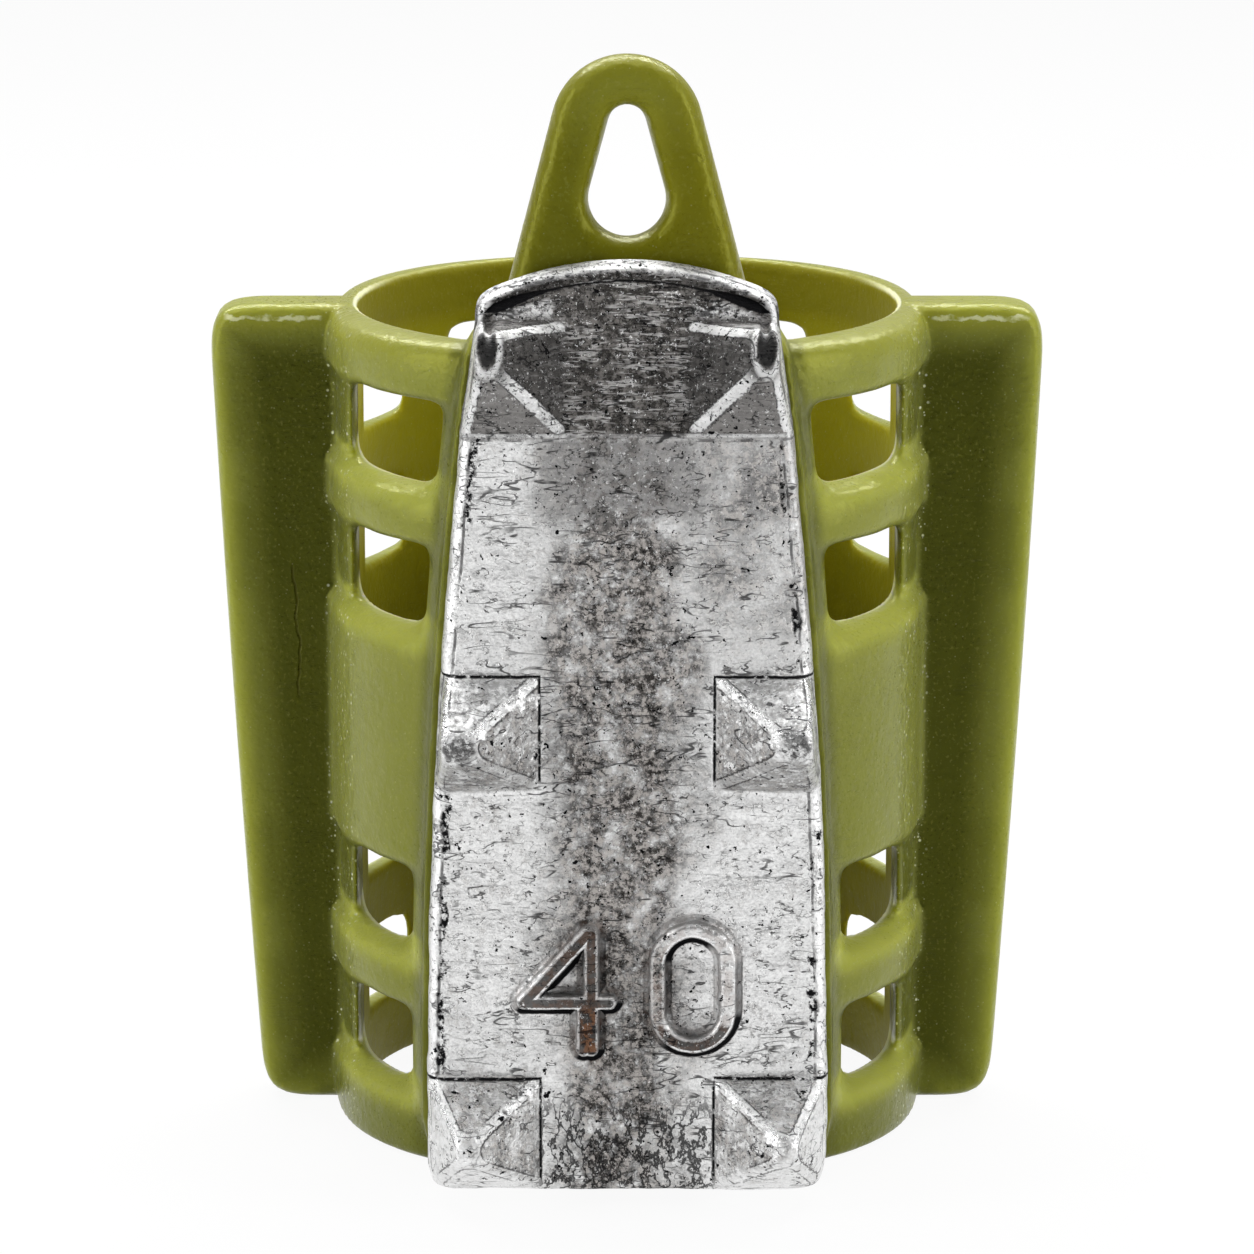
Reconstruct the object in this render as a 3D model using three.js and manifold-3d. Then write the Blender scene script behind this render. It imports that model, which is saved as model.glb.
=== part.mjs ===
// River feeder: an open plastic cage with two side wings and a line eye, and a cast lead sole
// with six spikes riveted to a pad on the front. Millimetres, +Z up, the sole faces -Y.
import * as THREE from 'three';
import Module from 'manifold-3d';
import { mergeVertices } from 'three/addons/utils/BufferGeometryUtils.js';
import { ConvexGeometry } from 'three/addons/geometries/ConvexGeometry.js';

const wasm = await Module();
wasm.setup();

// Tube of the cage: solid bands with rows of windows between them
const cageRadius = 16.5;
const cageWall = 1.6;
const cageFullness = 2.35; // 2 is a round outside, more is fuller between front and sides
const bandProud = 0.42; // bands stand this far outside the posts beside the wings
const bottomRimHeight = 3.62;
const windowHeight = 4.9;
const barHeight = 3.0;
const middleBandHeight = 13.18;
const topRimHeight = 3.25;
const topRimRounding = 1.35;
const footRounding = 0.5;
const sillRounding = 1.4; // below a window
const lintelRounding = 0.65; // above a window
const tubeSegments = 60;

// Windows, cut straight through from the front and from the back
const windowToSole = 1.05; // wall left between the sole's edge and a front window
const frontWindowOuter = 14.85;
const sideWindowInner = 12.8;
const sideWindowOuter = 15.3;
const rearWindowInner = 2.0;
const rearWindowOuter = 10.3;
const rearWindowInset = 0.2; // rear windows are this much lower at both ends
const windowCorner = 0.9;
const wallOverlap = 0.37; // plain wall starts this far inside a window's place, which is cut later

// Side wings
const wingTopReach = 23.05; // from the cage's axis to the outer edge
const wingBottomReach = 20.55;
const wingBulge = 0.2;
const wingThickness = 4.4;
const wingTopCorner = 2.1;
const wingBottomCorner = 1.9;
const wingRounding = 0.9;

// Pad for the sole on the front of the cage
const padProud = 0.8; // beyond the cage's radius
const padLip = 0.4; // beyond the sole's edge
const padTopDrop = 1.9; // the pad's top below the sole's top

// Line eye
const eyeTop = 61.1;
const eyeTopRadius = 4.1;
const eyeFlare = 14.6; // degrees, each side
const eyeThickness = 3.2;
const eyeBehindPad = 2.3; // from the pad's front to the eye's front
const eyeRounding = 1.1;
const eyeFootHeight = 5.0; // gusset below the rim
const holeTopRadius = 1.05;
const holeBottomRadius = 2.1;
const holeTopWall = 2.65;
const holeCentreDistance = 4.0;

// Cast lead sole
const soleThickness = 3.55;
const soleBottom = 0.6;
const soleBottomHalfWidth = 10.68;
const soleTaperStart = 6.0;
const soleShoulder = 47.4;
const soleShoulderHalfWidth = 8.0;
const soleTop = 50.5;
const soleTopArch = 1.55;
const soleBottomCorner = 1.7;
const soleTopCorner = 1.5;
const soleEdge = 0.7;
const creaseHeight = 41.9; // above it the front leans back
const soleLean = 26; // degrees

// Spikes on the sole, each a pyramid from its inner edge out to the sole's side edge.
// The tip runs from tipInner to tipOuter across, and tipLift is how far it lies above the middle.
const spikeHeight = 3.7;
const spikeLength = 6.2;
const spikeEdgeInset = 0.15;
const spikeRoot = 0.6; // sunk into the plate
const bottomSpike = { centre: 4.0, inner: 4.55, tipInner: 8.1, tipOuter: 8.95, tip: 1.3, tipLift: 0 };
const middleSpike = { centre: 26.05, inner: 4.55, tipInner: 8.1, tipOuter: 9.8, tip: 1.3, tipLift: 0 };
const topSpike = { inner: 3.1, tipInner: 6.95, tipOuter: 7.9, tip: 1.9, tipLift: 0.5 };

// Rivets through the pad into the sole
const rivetShank = 0.9;
const rivetHead = 1.9;
const rivetHeadHeight = 0.9;
const rivetInSole = 2.0;
const rivetClearance = 0.25;
const rivetSeatDepth = 0.15;
const lowestRivet = 8.0;
const rivetPitch = 14.0;
const rivetNames = ['rivet_lower', 'rivet_middle', 'rivet_upper'];

const fitGap = 0.3; // between a leaning face and what lies on it
const rodSegments = 16;
const weldDistance = 1e-5;
const roundStart = 0.3; // where a band's edge is half way round, as a part of its rounding

// Sizes that follow from the ones above
const innerRadius = cageRadius - cageWall;
const padFront = -(cageRadius + padProud);
const soleFront = padFront - soleThickness;
const eyeFront = padFront + eyeBehindPad;
const eyeBack = eyeFront + eyeThickness;
const frontSlope = Math.tan(THREE.MathUtils.degToRad(soleLean));
const soleTopBack = eyeFront - fitGap;
const backSlope = (soleTopBack - padFront) / (soleTop - creaseHeight);
const bandHeights = [bottomRimHeight, barHeight, middleBandHeight, barHeight, topRimHeight];
const bands = [];
const windowRows = [];
let level = 0;
for (const height of bandHeights) {
  if (level > 0) {
    windowRows.push([level, level + windowHeight]);
    level += windowHeight;
  }
  bands.push([level, level + height]);
  level += height;
}
const cageHeight = level;
const far = 2 * (eyeTop + cageRadius);

function soleHalfWidth(z) {
  const t = THREE.MathUtils.clamp((z - soleTaperStart) / (soleShoulder - soleTaperStart), 0, 1);
  return THREE.MathUtils.lerp(soleBottomHalfWidth, soleShoulderHalfWidth, t * t);
}

// Inner edge of a front window
function frontWindowInner(z) {
  return soleHalfWidth(z) + windowToSole;
}

function solidOf(geometry) {
  geometry.deleteAttribute('normal');
  geometry.deleteAttribute('uv');
  const merged = mergeVertices(geometry, weldDistance);
  const mesh = new wasm.Mesh({
    numProp: 3,
    vertProperties: new Float32Array(merged.attributes.position.array),
    triVerts: new Uint32Array(merged.index.array),
  });
  return new wasm.Manifold(mesh);
}

function geometryOf(solid) {
  const mesh = solid.getMesh();
  const geometry = new THREE.BufferGeometry();
  geometry.setAttribute('position', new THREE.BufferAttribute(mesh.vertProperties, 3));
  geometry.setIndex(new THREE.BufferAttribute(mesh.triVerts, 1));
  geometry.computeVertexNormals();
  return geometry;
}

// Prism of an outline drawn in x and z, running along Y from front to back.
// A rounding bevels both ends inside the outline.
function prismAlongY(shape, front, back, rounding = 0, steps = 2, curveSegments = 6) {
  const geometry = new THREE.ExtrudeGeometry(shape, {
    depth: back - front - 2 * rounding,
    bevelEnabled: rounding > 0,
    bevelThickness: rounding,
    bevelSize: rounding,
    bevelOffset: -rounding,
    bevelSegments: steps,
    curveSegments,
  });
  geometry.rotateX(Math.PI / 2);
  geometry.translate(0, back - rounding, 0);
  return solidOf(geometry);
}

// Prism of an outline drawn in y and z, running along X to both sides
function prismAlongX(points, halfWidth) {
  const shape = new THREE.Shape(points.map(([y, z]) => new THREE.Vector2(y, z)));
  const geometry = new THREE.ExtrudeGeometry(shape, { depth: 2 * halfWidth, bevelEnabled: false });
  geometry.applyMatrix4(new THREE.Matrix4().set(0, 0, 1, -halfWidth, 1, 0, 0, 0, 0, 1, 0, 0, 0, 0, 0, 1));
  return solidOf(geometry);
}

function rodAlongY(radius, front, back, z) {
  const geometry = new THREE.CylinderGeometry(radius, radius, back - front, rodSegments);
  geometry.translate(0, (front + back) / 2, z);
  return solidOf(geometry);
}

// Closed outline through corner points, each with its own corner radius
function roundedOutline(corners) {
  const shape = new THREE.Shape();
  corners.forEach(([x, y, radius], i) => {
    const corner = new THREE.Vector2(x, y);
    const before = new THREE.Vector2(...corners.at(i - 1).slice(0, 2));
    const after = new THREE.Vector2(...corners[(i + 1) % corners.length].slice(0, 2));
    const start = corner.clone().add(before.sub(corner).setLength(radius));
    const end = corner.clone().add(after.sub(corner).setLength(radius));
    if (i === 0) {
      shape.moveTo(start.x, start.y);
    } else {
      shape.lineTo(start.x, start.y);
    }
    shape.quadraticCurveTo(x, y, end.x, end.y);
  });
  shape.closePath();
  return shape;
}

function mirrored(solid) {
  return solid.mirror([1, 0, 0]);
}

// The sole's outline, or one that stands a little outside it
function soleOutline(outset, bottom, top) {
  const half = soleBottomHalfWidth + outset;
  const shoulderHalf = soleShoulderHalfWidth + outset;
  const archHalf = shoulderHalf - soleTopCorner;
  const archEnd = top - soleTopArch;
  const shoulder = archEnd - soleTopCorner;
  const middle = (soleTaperStart + shoulder) / 2;
  const shape = new THREE.Shape();
  shape.moveTo(-(half - soleBottomCorner), bottom);
  shape.lineTo(half - soleBottomCorner, bottom);
  shape.quadraticCurveTo(half, bottom, half, bottom + soleBottomCorner);
  shape.lineTo(half, soleTaperStart);
  shape.quadraticCurveTo(half, middle, shoulderHalf, shoulder);
  shape.quadraticCurveTo(shoulderHalf, archEnd, archHalf, archEnd);
  shape.quadraticCurveTo(0, top + soleTopArch, -archHalf, archEnd);
  shape.quadraticCurveTo(-shoulderHalf, archEnd, -shoulderHalf, shoulder);
  shape.quadraticCurveTo(-half, middle, -half, soleTaperStart);
  shape.lineTo(-half, bottom + soleBottomCorner);
  shape.quadraticCurveTo(-half, bottom, -(half - soleBottomCorner), bottom);
  return shape;
}

// Round corner of a band's profile, from its end face to the band's outside
function bandCorner(height, rounding, inwards) {
  const outside = [cageRadius, height + inwards * rounding];
  const halfWay = [cageRadius - roundStart * rounding, height + inwards * roundStart * rounding];
  return [[cageRadius - rounding, height], halfWay, outside];
}

// Tube turned about the cage's axis, round inside and fuller than round outside
function turnedTube(outside) {
  const profile = [...outside, [innerRadius, cageHeight], [innerRadius, 0], outside[0]];
  const points = profile.map(([r, z]) => new THREE.Vector2(r, z));
  const geometry = new THREE.LatheGeometry(points, tubeSegments);
  geometry.rotateX(Math.PI / 2);
  return solidOf(geometry).warp((point) => {
    const radius = Math.hypot(point[0], point[1]);
    if (radius < innerRadius + fitGap) {
      return;
    }
    const sum = Math.abs(point[0]) ** cageFullness + Math.abs(point[1]) ** cageFullness;
    const scale = radius / sum ** (1 / cageFullness);
    point[0] *= scale;
    point[1] *= scale;
  });
}

// Bands with recessed posts in every window row, and plain wall beside the windows
function tube() {
  const postRadius = cageRadius - bandProud;
  const foot = bandCorner(0, footRounding, 1);
  const rim = bandCorner(cageHeight, topRimRounding, -1).reverse();
  const banded = [...foot];
  for (const [low, high] of windowRows) {
    banded.push([cageRadius, low - sillRounding], [postRadius, low - bandProud], [postRadius, high]);
    banded.push(...bandCorner(high, lintelRounding, 1).slice(1));
  }
  banded.push(...rim);
  const plain = turnedTube([...foot, ...rim]);
  return turnedTube(banded).add(plain.intersect(wallBesideWindows()));
}

// Prisms of the wall that runs past the windows from the foot to the rim
function wallBesideWindows() {
  const levels = [0, ...windowRows.flat(), cageHeight];
  const edge = levels.map((z) => new THREE.Vector2(frontWindowInner(z) + wallOverlap, z));
  const outline = [...edge, new THREE.Vector2(0, cageHeight), new THREE.Vector2(0, 0)];
  const beside = prismAlongY(new THREE.Shape(outline), -far, 0);
  const rearWalls = [
    [0, rearWindowInner + wallOverlap],
    [rearWindowOuter - wallOverlap, sideWindowInner + wallOverlap],
  ];
  const strips = rearWalls.map(([from, to]) => {
    const corners = [[from, 0], [to, 0], [to, cageHeight], [from, cageHeight]];
    const strip = new THREE.Shape(corners.map(([x, z]) => new THREE.Vector2(x, z)));
    return prismAlongY(strip, 0, far);
  });
  const right = wasm.Manifold.union([beside, ...strips]);
  return right.add(mirrored(right));
}

function windowCutters() {
  const cutters = [];
  for (const [low, high] of windowRows) {
    const front = roundedOutline([
      [frontWindowInner(low), low, windowCorner],
      [frontWindowOuter, low, windowCorner],
      [frontWindowOuter, high, windowCorner],
      [frontWindowInner(high), high, windowCorner],
    ]);
    cutters.push(prismAlongY(front, -far, 0, 0, 0, 3));
    for (const [inner, outer] of [[sideWindowInner, sideWindowOuter], [rearWindowInner, rearWindowOuter]]) {
      const rear = roundedOutline([
        [inner, low + rearWindowInset, windowCorner],
        [outer, low + rearWindowInset, windowCorner],
        [outer, high - rearWindowInset, windowCorner],
        [inner, high - rearWindowInset, windowCorner],
      ]);
      cutters.push(prismAlongY(rear, 0, far, 0, 0, 3));
    }
  }
  const right = wasm.Manifold.union(cutters);
  return right.add(mirrored(right));
}

function wing() {
  const root = innerRadius + cageWall / 4;
  const shape = new THREE.Shape();
  const middleReach = (wingTopReach + wingBottomReach) / 2 + 2 * wingBulge;
  shape.moveTo(root, 0);
  shape.lineTo(wingBottomReach - wingBottomCorner, 0);
  shape.quadraticCurveTo(wingBottomReach, 0, wingBottomReach, wingBottomCorner);
  shape.quadraticCurveTo(middleReach, cageHeight / 2, wingTopReach, cageHeight - wingTopCorner);
  shape.quadraticCurveTo(wingTopReach, cageHeight, wingTopReach - wingTopCorner, cageHeight);
  shape.lineTo(root, cageHeight);
  shape.closePath();
  return prismAlongY(shape, -wingThickness / 2, wingThickness / 2, wingRounding);
}

// Pad under the sole, outside the bore, its upper front leaning back behind the sole
function pad() {
  const outline = soleOutline(padLip, 0, soleTop - padTopDrop);
  const bore = new THREE.CylinderGeometry(innerRadius, innerRadius, 2 * far, tubeSegments);
  bore.rotateX(Math.PI / 2);
  const leanStart = creaseHeight - fitGap / backSlope;
  const leanTop = soleTop + padTopDrop;
  const inFront = prismAlongX([
    [-far, leanStart],
    [padFront, leanStart],
    [padFront + backSlope * (leanTop - leanStart), leanTop],
    [-far, leanTop],
  ], far);
  return prismAlongY(outline, padFront, 0).subtract(solidOf(bore)).subtract(inFront);
}

function eyeOutline() {
  const flare = THREE.MathUtils.degToRad(eyeFlare);
  const centre = eyeTop - eyeTopRadius;
  const tangent = [eyeTopRadius * Math.cos(flare), centre + eyeTopRadius * Math.sin(flare)];
  const rootHalf = tangent[0] + (tangent[1] - cageHeight) * Math.tan(flare);
  const foot = cageHeight - eyeFootHeight;
  const shape = new THREE.Shape();
  shape.moveTo(-rootHalf, foot);
  shape.lineTo(rootHalf, foot);
  shape.lineTo(rootHalf, cageHeight);
  shape.lineTo(...tangent);
  shape.absarc(0, centre, eyeTopRadius, flare, Math.PI - flare, false);
  shape.lineTo(-rootHalf, cageHeight);
  shape.closePath();
  const holeTop = eyeTop - holeTopWall - holeTopRadius;
  const holeBottom = holeTop - holeCentreDistance;
  const tilt = Math.asin((holeBottomRadius - holeTopRadius) / holeCentreDistance);
  const hole = new THREE.Path();
  hole.absarc(0, holeTop, holeTopRadius, tilt, Math.PI - tilt, false);
  hole.absarc(0, holeBottom, holeBottomRadius, Math.PI - tilt, 2 * Math.PI + tilt, false);
  hole.closePath();
  shape.holes.push(hole);
  return shape;
}

// Flat eye that rises behind the sole's top, with a gusset into the bore below the rim
function eye() {
  const plate = prismAlongY(eyeOutline(), eyeFront, eyeBack, eyeRounding, 2, 8);
  const foot = cageHeight - eyeFootHeight;
  const behindGusset = prismAlongX([
    [-innerRadius, 0],
    [-innerRadius, foot],
    [eyeBack, cageHeight],
    [0, cageHeight],
    [0, 0],
  ], far);
  return plate.subtract(behindGusset);
}

function rivetHeights() {
  return rivetNames.map((name, i) => lowestRivet + i * rivetPitch);
}

function cageBody() {
  const wingSolid = wing();
  let body = tube().subtract(windowCutters());
  body = body.add(wingSolid).add(mirrored(wingSolid)).add(pad()).add(eye());
  for (const z of rivetHeights()) {
    body = body.subtract(rodAlongY(rivetShank + rivetClearance, -far, 0, z));
    body = body.subtract(rodAlongY(rivetHead + rivetClearance, -(innerRadius + rivetSeatDepth), 0, z));
  }
  return body;
}

// One pyramid on a plane: from is a point of the plane at x = 0, up and out its directions
function spike(from, up, out, size, outer) {
  const points = [];
  const corner = (x, along, away) => {
    const point = new THREE.Vector3(x, 0, 0);
    return point.add(from).addScaledVector(up, along).addScaledVector(out, away);
  };
  const half = spikeLength / 2;
  for (const along of [-half, half]) {
    for (const x of [size.inner, outer]) {
      points.push(corner(x, along, 0));
      points.push(corner(x, along, -spikeRoot));
    }
  }
  for (const along of [-size.tip / 2, size.tip / 2]) {
    for (const x of [size.tipInner, size.tipOuter]) {
      points.push(corner(x, along + size.tipLift, spikeHeight));
    }
  }
  return solidOf(new ConvexGeometry(points));
}

function spikes() {
  const lean = THREE.MathUtils.degToRad(soleLean);
  const upright = new THREE.Vector3(0, 0, 1);
  const forward = new THREE.Vector3(0, -1, 0);
  const right = [];
  for (const size of [bottomSpike, middleSpike]) {
    const from = new THREE.Vector3(0, soleFront, size.centre);
    const outer = soleHalfWidth(size.centre) - spikeEdgeInset;
    right.push(spike(from, upright, forward, size, outer));
  }
  const upSlope = new THREE.Vector3(0, Math.sin(lean), Math.cos(lean));
  const outOfSlope = new THREE.Vector3(0, -Math.cos(lean), Math.sin(lean));
  const from = new THREE.Vector3(0, soleFront, creaseHeight).addScaledVector(upSlope, spikeLength / 2);
  right.push(spike(from, upSlope, outOfSlope, topSpike, soleHalfWidth(from.z)));
  const all = wasm.Manifold.union(right);
  return all.add(mirrored(all));
}

// Plate that is flat below the crease and leans back and thins above it
function leadWeight() {
  const outline = soleOutline(0, soleBottom, soleTop);
  const plate = prismAlongY(outline, soleFront, padFront + 2 * soleEdge, soleEdge);
  const flat = plate.trimByPlane([0, -1, 0], -padFront);
  const [above, below] = flat.splitByPlane([0, 0, 1], creaseHeight);
  const leaning = above.warp((point) => {
    const depth = (padFront - point[1]) / soleThickness;
    const slope = THREE.MathUtils.lerp(backSlope, frontSlope, depth);
    point[1] += slope * (point[2] - creaseHeight);
  });
  const withinOutline = spikes().intersect(prismAlongY(outline, -far, 0));
  let lead = below.add(leaning).add(withinOutline);
  for (const z of rivetHeights()) {
    const bottom = padFront - rivetInSole - rivetClearance;
    lead = lead.subtract(rodAlongY(rivetShank + rivetClearance, bottom, far, z));
  }
  return lead;
}

// Rivet with a domed head inside the cage, turned about its own axis
function rivetGeometry() {
  const reach = -(innerRadius + rivetSeatDepth) - (padFront - rivetInSole);
  const profile = [
    [0, -reach],
    [0.7 * rivetShank, -reach],
    [rivetShank, 0.3 * rivetShank - reach],
    [rivetShank, 0],
    [rivetHead, 0],
    [rivetHead, 0.35 * rivetHeadHeight],
    [0.75 * rivetHead, 0.8 * rivetHeadHeight],
    [0.35 * rivetHead, rivetHeadHeight],
    [0, rivetHeadHeight],
  ];
  return new THREE.LatheGeometry(profile.map(([r, y]) => new THREE.Vector2(r, y)), rodSegments);
}

const plastic = new THREE.MeshStandardMaterial({ color: 0x7f8a2c, roughness: 0.42, metalness: 0.0 });
const lead = new THREE.MeshStandardMaterial({ color: 0xa9a9ab, roughness: 0.4, metalness: 0.85 });
const steel = new THREE.MeshStandardMaterial({ color: 0xb9b7b2, roughness: 0.35, metalness: 0.95 });

// The group's origin is under the middle of the whole part's depth
const feeder = new THREE.Group();
const model = new THREE.Group();
model.position.y = -(soleFront - spikeHeight + cageRadius) / 2;
feeder.add(model);

function addPiece(name, geometry, material) {
  const piece = new THREE.Mesh(geometry, material);
  piece.name = name;
  model.add(piece);
  return piece;
}

addPiece('cage_body', geometryOf(cageBody()), plastic);
addPiece('lead_weight', geometryOf(leadWeight()), lead);
rivetHeights().forEach((z, i) => {
  const rivet = addPiece(rivetNames[i], rivetGeometry(), steel);
  rivet.position.set(0, -(innerRadius + rivetSeatDepth), z);
});

export default feeder;
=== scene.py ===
# %% [markdown]
# # A river feeder: olive plastic cage, cast lead sole
#
# The object is a small fishing feeder, about 61 mm tall. A cage of olive plastic is moulded in one
# piece: an open tube with windows, two flat wings, a pad and an eye for the line. A sole of cast lead
# with six spikes sits on the pad and is riveted from inside.
#
# This first cell loads the measured solids as a fixed frame. Everything below is built around them, in
# metres, and rides on the one body, "root", because nothing on this object moves.

import math

import bpy
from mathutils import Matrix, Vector


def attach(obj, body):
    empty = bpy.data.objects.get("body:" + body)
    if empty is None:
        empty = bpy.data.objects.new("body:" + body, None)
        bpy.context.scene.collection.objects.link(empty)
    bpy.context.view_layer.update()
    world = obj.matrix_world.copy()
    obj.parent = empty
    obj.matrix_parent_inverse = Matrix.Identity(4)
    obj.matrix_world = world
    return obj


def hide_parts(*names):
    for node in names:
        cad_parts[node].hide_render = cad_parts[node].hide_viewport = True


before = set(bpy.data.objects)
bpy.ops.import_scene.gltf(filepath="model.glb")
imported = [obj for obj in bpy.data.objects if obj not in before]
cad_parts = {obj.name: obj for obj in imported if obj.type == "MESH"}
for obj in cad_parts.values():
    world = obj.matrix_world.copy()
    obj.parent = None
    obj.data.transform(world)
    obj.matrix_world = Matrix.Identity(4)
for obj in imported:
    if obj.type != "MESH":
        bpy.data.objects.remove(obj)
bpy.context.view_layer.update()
print("solids:", sorted(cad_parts))

# %% [markdown]
# ## Numbers that nodes work out
#
# Both the forms and the finishes below are formulas. Wiring a formula by hand takes many Math nodes, so
# one small class wraps a socket and lets plain Python arithmetic add the nodes. `Tree.node` makes any
# other node: its settings go in first, then the values or links of its sockets. The same two classes
# serve Geometry Nodes and shaders.


# %% Wrap a socket
class Num:
    """One number in a node tree. Arithmetic on it adds Math nodes."""

    def __init__(self, tree, socket):
        self.tree = tree
        self.socket = socket

    def __add__(self, other):
        return self.tree.math("ADD", self, other)

    def __sub__(self, other):
        return self.tree.math("SUBTRACT", self, other)

    def __rsub__(self, other):
        return self.tree.math("SUBTRACT", other, self)

    def __mul__(self, other):
        return self.tree.math("MULTIPLY", self, other)

    def __truediv__(self, other):
        return self.tree.math("DIVIDE", self, other)

    def __rtruediv__(self, other):
        return self.tree.math("DIVIDE", other, self)

    def __pow__(self, other):
        return self.tree.math("POWER", self, other)

    def __neg__(self):
        return self * -1

    def __abs__(self):
        return self.tree.math("ABSOLUTE", self)

    __radd__ = __add__

    def root(self):
        return self.tree.math("SQRT", self)

    def sign(self):
        return self.tree.math("SIGN", self)

    def over(self, other):
        return self.tree.math("GREATER_THAN", self, other)

    def ramp(self, low, high):
        """0 below low, 1 above high, and a smooth rise between. High may be the smaller one."""
        node = self.tree.node(
            "ShaderNodeMapRange",
            {"interpolation_type": "SMOOTHSTEP"},
            {"Value": self, "From Min": low, "From Max": high},
        )
        return Num(self.tree, node.outputs[0])


# %% Wrap a node tree
class Tree:
    """A node tree with one method for every kind of node."""

    def __init__(self, nodes):
        self.nodes = nodes

    def node(self, kind, settings=None, inputs=None):
        made = self.nodes.nodes.new(kind)
        for name, value in (settings or {}).items():
            setattr(made, name, value)
        for key, value in (inputs or {}).items():
            self.fill(made.inputs[key], value)
        return made

    def fill(self, socket, value):
        """Links a socket to a Num or another socket, or sets its own value."""
        if isinstance(value, Num):
            self.nodes.links.new(value.socket, socket)
        elif isinstance(value, bpy.types.NodeSocket):
            self.nodes.links.new(value, socket)
        else:
            socket.default_value = value

    def math(self, operation, *values):
        made = self.node("ShaderNodeMath", {"operation": operation}, dict(enumerate(values)))
        return Num(self, made.outputs[0])

    def split(self, vector):
        made = self.node("ShaderNodeSeparateXYZ", inputs={0: vector})
        return [Num(self, output) for output in made.outputs]

    def join(self, x, y, z):
        return self.node("ShaderNodeCombineXYZ", inputs={0: x, 1: y, 2: z}).outputs[0]

    def noise(self, place, scale, detail=2.0, roughness=0.5):
        inputs = {"Vector": place, "Scale": scale, "Detail": detail, "Roughness": roughness}
        return Num(self, self.node("ShaderNodeTexNoise", inputs=inputs).outputs[0])

    def blend(self, factor, a, b):
        """Lays colour b over colour a where the factor is 1. Both are colours or sockets."""
        made = self.node("ShaderNodeMix", {"data_type": "RGBA"}, {0: factor})
        for index, colour in ((6, a), (7, b)):
            self.fill(made.inputs[index], (*colour, 1) if isinstance(colour, tuple) else colour)
        return made.outputs[2]


def tell(tree, what):
    print(f"{what}: {len(tree.nodes.nodes)} nodes so far")


print("a Num turns 1 - mask into one Subtract node")

# %% [markdown]
# ## The camera
#
# The photograph was taken from straight in front and about 13 degrees above, from far away with a long
# lens. The distance and the lens come from the sizes of near and far edges in the picture. The camera
# comes first, because it decides which details matter.


# %% Add an object to the scene
def add(name, data):
    made = bpy.data.objects.new(name, data)
    bpy.context.scene.collection.objects.link(made)
    return made


# %% Place the camera
AXIS_Y = 4.025  # mm from the middle of the whole object to the tube's axis
AIM_HEIGHT = 27.01  # mm
DISTANCE = 337.6  # mm
ELEVATION = math.radians(12.97)
LENS = 172.9  # mm on a 36 mm sensor

aim = Vector((0, AXIS_Y, AIM_HEIGHT)) / 1000
back = Vector((0, -math.cos(ELEVATION), math.sin(ELEVATION)))
camera = add("camera", bpy.data.cameras.new("camera"))
camera.location = aim + back * DISTANCE / 1000
camera.rotation_euler = (-back).to_track_quat("-Z", "Y").to_euler()
camera.data.lens = LENS
camera.data.sensor_width = 36.0
camera.data.clip_start = 0.01
camera.data.clip_end = 20.0
bpy.context.scene.camera = camera
print("camera at", [round(v, 4) for v in camera.location])

# %% [markdown]
# ## Forms from distances
#
# A moulding has soft roundings wherever two walls meet, and a casting has soft ridges. Building those
# with bevels on booleans is fragile. Here each form is a distance field instead: a formula that is
# negative inside the material. Smooth maximum and minimum cut and join with a real rounding. A Volume
# Cube samples the formula, and Volume to Mesh turns it into a closed skin. The formulas are in
# millimetres about the tube's axis, and the last node scales the skin to metres.

# %% Cut and join with a rounding
ROUND = 1.757  # smooth distance that gives an edge a radius of 1


def cut(a, b, radius):
    return a.tree.math("SMOOTH_MAX", a, b, radius * ROUND)


def join(a, b, radius):
    return a.tree.math("SMOOTH_MIN", a, b, radius * ROUND)


def larger(largest, *others):
    for other in others:
        largest = largest.tree.math("MAXIMUM", largest, other)
    return largest


def smaller(a, b):
    return a.tree.math("MINIMUM", a, b)


def span(value, middle, half):
    """Negative where value is within half of middle."""
    return abs(value - middle) - half


# %% Start a tree with named sizes
def form_tree(name, sizes):
    nodes = bpy.data.node_groups.new(name, "GeometryNodeTree")
    nodes.interface.new_socket("Geometry", in_out="OUTPUT", socket_type="NodeSocketGeometry")
    for label, value in sizes.items():
        socket = nodes.interface.new_socket(label, in_out="INPUT", socket_type="NodeSocketFloat")
        socket.default_value = value
    tree = Tree(nodes)
    inputs = tree.node("NodeGroupInput")
    return tree, {label: Num(tree, inputs.outputs[label]) for label in sizes}


# %% End a tree: skin, marks, place, material
def end_tree(tree, geometry, material):
    solid = tree.node("GeometryNodeRealizeInstances", inputs={0: geometry})
    painted = tree.node(
        "GeometryNodeSetMaterial", inputs={"Geometry": solid.outputs[0], "Material": material}
    )
    tree.node("NodeGroupOutput", inputs={0: painted.outputs[0]})


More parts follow.
